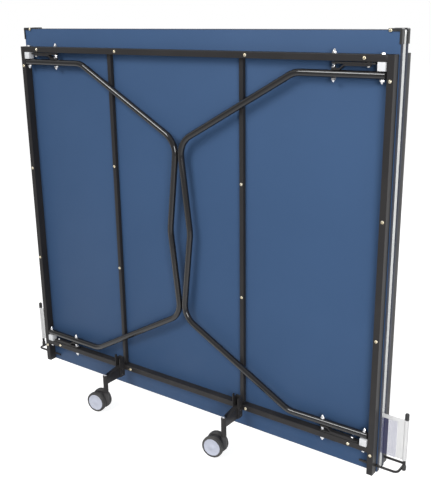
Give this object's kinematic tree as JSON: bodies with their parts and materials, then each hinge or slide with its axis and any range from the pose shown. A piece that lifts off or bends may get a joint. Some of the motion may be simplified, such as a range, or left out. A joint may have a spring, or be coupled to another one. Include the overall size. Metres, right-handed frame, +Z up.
{
  "type": "table tennis table",
  "caption": "Centre-fold table tennis table parked upright on casters: hinged halves, bent tube legs with folding stays and a post-mounted net between the halves.",
  "frame": {"origin": "on the floor, midway between the playing faces and midway along the net", "axes": "+X along the net, to the right of someone facing the near half's underside; +Y away from them; +Z up"},
  "size_m": [1.696, 0.3802, 1.436],
  "materials": {
    "tabletop": "satin blue lacquer on board",
    "frame": "satin black powder coat",
    "bright_steel": "bright nickel plate",
    "screws": "yellow zinc plate",
    "white_plastic": "white moulded plastic",
    "black_plastic": "black moulded plastic",
    "caster_body": "dark grey moulded plastic",
    "caster_tread": "dark grey tread",
    "hub_disc": "pale lavender grey plastic",
    "net_mesh": "blue grey knotted cord",
    "net_binding": "white woven tape"
  },
  "bodies": {
    "net_set": {"hinge_bows": "frame", "post_knobs": "black_plastic", "net_posts": "frame", "post_caps": "black_plastic", "net_mesh": "net_mesh", "net_binding": "net_binding"},
    "near_half": {"near_tabletop": "tabletop", "near_side_tubes": "frame", "near_rails": "frame", "near_mid_tubes": "frame", "near_corner_caps": "black_plastic", "near_panel_screws": "screws", "near_pivot_bolts": "bright_steel", "near_pivot_spacers": "white_plastic", "near_rail_stay_bolts": "bright_steel", "near_caster_brackets": "frame", "near_bracket_bolts": "bright_steel", "near_caster_arms": "frame", "near_caster_stems": "bright_steel"},
    "near_left_leg": {"near_left_leg": "frame", "near_left_leg_stay_bolts": "bright_steel"},
    "near_left_rail_links": {"near_left_rail_links": "frame"},
    "near_left_leg_links": {"near_left_leg_links": "frame"},
    "near_right_leg": {"near_right_leg": "frame", "near_right_leg_stay_bolts": "bright_steel"},
    "near_right_rail_links": {"near_right_rail_links": "frame"},
    "near_right_leg_links": {"near_right_leg_links": "frame"},
    "near_left_caster_fork": {"near_left_caster_fork": "caster_body"},
    "near_left_caster_wheels": {"near_left_caster_wheels": "caster_tread", "near_left_hub_discs": "hub_disc"},
    "near_right_caster_fork": {"near_right_caster_fork": "caster_body"},
    "near_right_caster_wheels": {"near_right_caster_wheels": "caster_tread", "near_right_hub_discs": "hub_disc"},
    "far_half": {"far_tabletop": "tabletop", "far_side_tubes": "frame", "far_rails": "frame", "far_mid_tubes": "frame", "far_corner_caps": "black_plastic", "far_panel_screws": "screws", "far_pivot_bolts": "bright_steel", "far_pivot_spacers": "white_plastic", "far_rail_stay_bolts": "bright_steel", "far_caster_brackets": "frame", "far_bracket_bolts": "bright_steel", "far_caster_arms": "frame", "far_caster_stems": "bright_steel"},
    "far_left_leg": {"far_left_leg": "frame", "far_left_leg_stay_bolts": "bright_steel"},
    "far_left_rail_links": {"far_left_rail_links": "frame"},
    "far_left_leg_links": {"far_left_leg_links": "frame"},
    "far_right_leg": {"far_right_leg": "frame", "far_right_leg_stay_bolts": "bright_steel"},
    "far_right_rail_links": {"far_right_rail_links": "frame"},
    "far_right_leg_links": {"far_right_leg_links": "frame"},
    "far_left_caster_fork": {"far_left_caster_fork": "caster_body"},
    "far_left_caster_wheels": {"far_left_caster_wheels": "caster_tread", "far_left_hub_discs": "hub_disc"},
    "far_right_caster_fork": {"far_right_caster_fork": "caster_body"},
    "far_right_caster_wheels": {"far_right_caster_wheels": "caster_tread", "far_right_hub_discs": "hub_disc"}
  },
  "joints": [
    {"name": "near_fold", "type": "hinge", "parent": "net_set", "child": "near_half", "pos_m": [0, -0.0315, 0.0895], "axis": [1, 0, 0], "range_deg": [0, 90]},
    {"name": "near_left_leg_swing", "type": "hinge", "parent": "near_half", "child": "near_left_leg", "pos_m": [-0.723, -0.0475, 0.754], "axis": [0, 0, -1], "range_deg": [0, 89.25]},
    {"name": "near_left_rail_links_turn", "type": "hinge", "parent": "near_half", "child": "near_left_rail_links", "pos_m": [-0.574, -0.0475, 0.754], "axis": [0, 0, 1], "range_deg": [0, 34.85]},
    {"name": "near_left_leg_links_turn", "type": "hinge", "parent": "near_left_leg", "child": "near_left_leg_links", "pos_m": [-0.57401, -0.04945, 0.754], "axis": [0, 0, -1], "range_deg": [0, 34.85]},
    {"name": "near_right_leg_swing", "type": "hinge", "parent": "near_half", "child": "near_right_leg", "pos_m": [0.723, -0.0475, 0.754], "axis": [0, 0, 1], "range_deg": [0, 89.25]},
    {"name": "near_right_rail_links_turn", "type": "hinge", "parent": "near_half", "child": "near_right_rail_links", "pos_m": [0.574, -0.0475, 0.754], "axis": [0, 0, -1], "range_deg": [0, 34.85]},
    {"name": "near_right_leg_links_turn", "type": "hinge", "parent": "near_right_leg", "child": "near_right_leg_links", "pos_m": [0.57401, -0.04945, 0.754], "axis": [0, 0, 1], "range_deg": [0, 34.85]},
    {"name": "near_left_caster_swivel", "type": "hinge", "parent": "near_half", "child": "near_left_caster_fork", "pos_m": [-0.315, -0.1525, 0.066], "axis": [0, 0, 1], "continuous": true},
    {"name": "near_left_caster_roll", "type": "hinge", "parent": "near_left_caster_fork", "child": "near_left_caster_wheels", "pos_m": [-0.34863, -0.15753, 0.0395], "axis": [0.1478, -0.989, 0], "continuous": true},
    {"name": "near_right_caster_swivel", "type": "hinge", "parent": "near_half", "child": "near_right_caster_fork", "pos_m": [0.247, -0.1525, 0.066], "axis": [0, 0, 1], "continuous": true},
    {"name": "near_right_caster_roll", "type": "hinge", "parent": "near_right_caster_fork", "child": "near_right_caster_wheels", "pos_m": [0.21337, -0.15753, 0.0395], "axis": [0.1478, -0.989, 0], "continuous": true},
    {"name": "far_fold", "type": "hinge", "parent": "net_set", "child": "far_half", "pos_m": [0, 0.0315, 0.0895], "axis": [-1, 0, 0], "range_deg": [0, 90]},
    {"name": "far_left_leg_swing", "type": "hinge", "parent": "far_half", "child": "far_left_leg", "pos_m": [0.723, 0.0475, 0.754], "axis": [0, 0, -1], "range_deg": [0, 89.25]},
    {"name": "far_left_rail_links_turn", "type": "hinge", "parent": "far_half", "child": "far_left_rail_links", "pos_m": [0.574, 0.0475, 0.754], "axis": [0, 0, 1], "range_deg": [0, 34.85]},
    {"name": "far_left_leg_links_turn", "type": "hinge", "parent": "far_left_leg", "child": "far_left_leg_links", "pos_m": [0.57401, 0.04945, 0.754], "axis": [0, 0, -1], "range_deg": [0, 34.85]},
    {"name": "far_right_leg_swing", "type": "hinge", "parent": "far_half", "child": "far_right_leg", "pos_m": [-0.723, 0.0475, 0.754], "axis": [0, 0, 1], "range_deg": [0, 89.25]},
    {"name": "far_right_rail_links_turn", "type": "hinge", "parent": "far_half", "child": "far_right_rail_links", "pos_m": [-0.574, 0.0475, 0.754], "axis": [0, 0, -1], "range_deg": [0, 34.85]},
    {"name": "far_right_leg_links_turn", "type": "hinge", "parent": "far_right_leg", "child": "far_right_leg_links", "pos_m": [-0.57401, 0.04945, 0.754], "axis": [0, 0, 1], "range_deg": [0, 34.85]},
    {"name": "far_left_caster_swivel", "type": "hinge", "parent": "far_half", "child": "far_left_caster_fork", "pos_m": [0.337, 0.1525, 0.066], "axis": [0, 0, 1], "continuous": true},
    {"name": "far_left_caster_roll", "type": "hinge", "parent": "far_left_caster_fork", "child": "far_left_caster_wheels", "pos_m": [0.30337, 0.15753, 0.0395], "axis": [-0.1478, -0.989, 0], "continuous": true},
    {"name": "far_right_caster_swivel", "type": "hinge", "parent": "far_half", "child": "far_right_caster_fork", "pos_m": [-0.225, 0.1525, 0.066], "axis": [0, 0, 1], "continuous": true},
    {"name": "far_right_caster_roll", "type": "hinge", "parent": "far_right_caster_fork", "child": "far_right_caster_wheels", "pos_m": [-0.25863, 0.15753, 0.0395], "axis": [-0.1478, -0.989, 0], "continuous": true}
  ],
  "couplings": [
    {"joint": "near_left_rail_links_turn", "follows": "near_left_leg_swing", "ratio": 0.38997},
    {"joint": "near_left_leg_links_turn", "follows": "near_left_leg_swing", "ratio": 0.38997},
    {"joint": "near_right_rail_links_turn", "follows": "near_right_leg_swing", "ratio": 0.38997},
    {"joint": "near_right_leg_links_turn", "follows": "near_right_leg_swing", "ratio": 0.38997},
    {"joint": "far_left_rail_links_turn", "follows": "far_left_leg_swing", "ratio": 0.38997},
    {"joint": "far_left_leg_links_turn", "follows": "far_left_leg_swing", "ratio": 0.38997},
    {"joint": "far_right_rail_links_turn", "follows": "far_right_leg_swing", "ratio": 0.38997},
    {"joint": "far_right_leg_links_turn", "follows": "far_right_leg_swing", "ratio": 0.38997}
  ]
}
